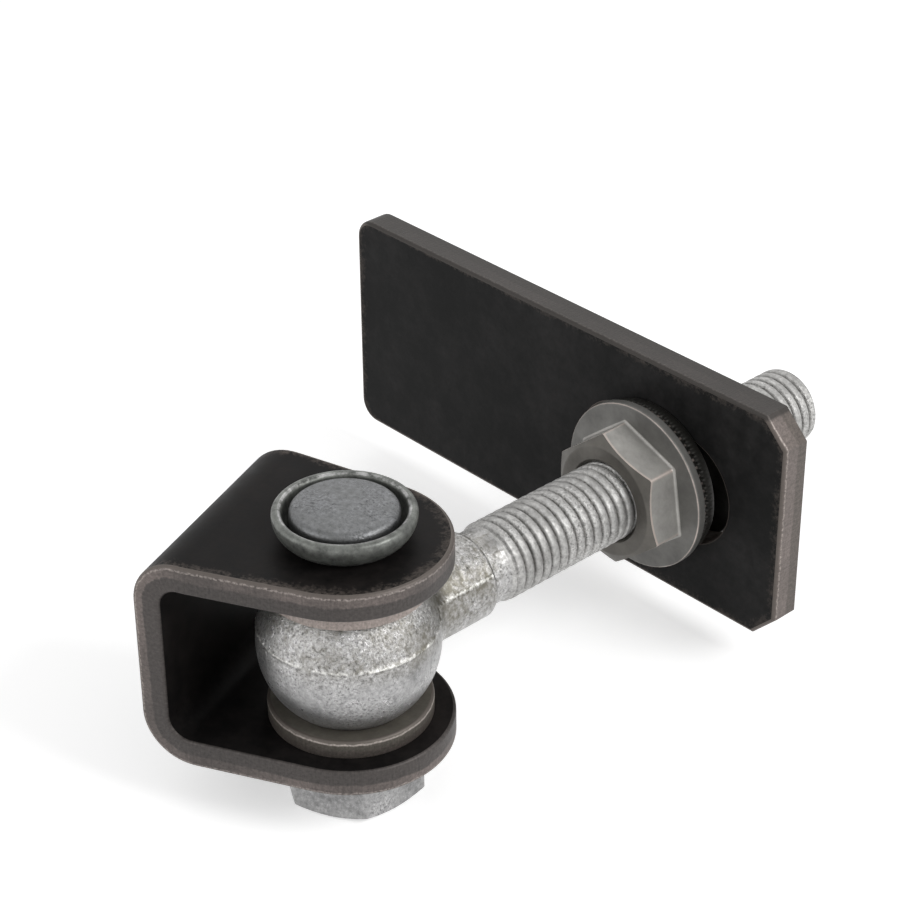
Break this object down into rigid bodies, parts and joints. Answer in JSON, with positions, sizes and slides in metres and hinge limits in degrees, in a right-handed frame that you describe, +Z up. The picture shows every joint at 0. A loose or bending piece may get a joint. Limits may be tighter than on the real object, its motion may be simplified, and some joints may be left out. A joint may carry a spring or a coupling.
{
  "type": "adjustable gate hinge",
  "caption": "Adjustable gate hinge with a folded weld-on bracket, a swivelling ball-eye bolt and a slotted weld plate clamped between flange nuts.",
  "frame": {"origin": "centre of the bracket's outer weld face, at half the bracket's height", "axes": "+X from the weld face to the ear tips, +Z up along the pivot, the hinge rests with its bolt swung 68 degrees from +X towards +Y"},
  "size_m": [0.1274, 0.1514, 0.068],
  "materials": {
    "mill_scale_steel": "hot-rolled steel with dark mill scale and bright sheared edges",
    "galvanised_steel": "hot-dip galvanised, mottled light grey",
    "dull_zinc_steel": "dull dark zinc",
    "plain_nut_steel": "plain zinc-plated steel",
    "bare_washer_steel": "bare punched steel, slightly olive"
  },
  "bodies": {
    "bracket": {"u_bracket": "mill_scale_steel", "pivot_bolt": "galvanised_steel", "cup_washer": "dull_zinc_steel", "lower_washer": "bare_washer_steel"},
    "eye": {"eye_bolt": "galvanised_steel", "upper_washer": "bare_washer_steel"},
    "clamp": {"front_lock_washer": "bare_washer_steel", "rear_lock_washer": "bare_washer_steel"},
    "front_nut": {"front_nut": "plain_nut_steel"},
    "rear_nut": {"rear_nut": "plain_nut_steel"},
    "plate": {"weld_plate": "mill_scale_steel"}
  },
  "joints": [
    {"name": "eye_swing", "type": "hinge", "parent": "bracket", "child": "eye", "pos_m": [0.0349, 0, 0], "axis": [0, 0, 1], "range_deg": [-188, 52]},
    {"name": "clamp_slide", "type": "slide", "parent": "eye", "child": "clamp", "axis": [0.3746, 0.9272, 0], "range_m": [-0.03, 0.022]},
    {"name": "plate_slide", "type": "slide", "parent": "clamp", "child": "plate", "axis": [-0.9272, 0.3746, 0], "range_m": [-0.0125, 0.0125]},
    {"name": "front_nut_spin", "type": "hinge", "parent": "clamp", "child": "front_nut", "pos_m": [0.06412, 0.07232, -0.0004], "axis": [0.3746, 0.9272, 0], "range_deg": [-4321, 3169]},
    {"name": "rear_nut_spin", "type": "hinge", "parent": "clamp", "child": "rear_nut", "pos_m": [0.07386, 0.09643, -0.0004], "axis": [0.3746, 0.9272, 0], "range_deg": [-4321, 3169]}
  ],
  "couplings": [
    {"joint": "front_nut_spin", "follows": "clamp_slide", "rad_per_m": 2513.3},
    {"joint": "rear_nut_spin", "follows": "clamp_slide", "rad_per_m": 2513.3}
  ]
}
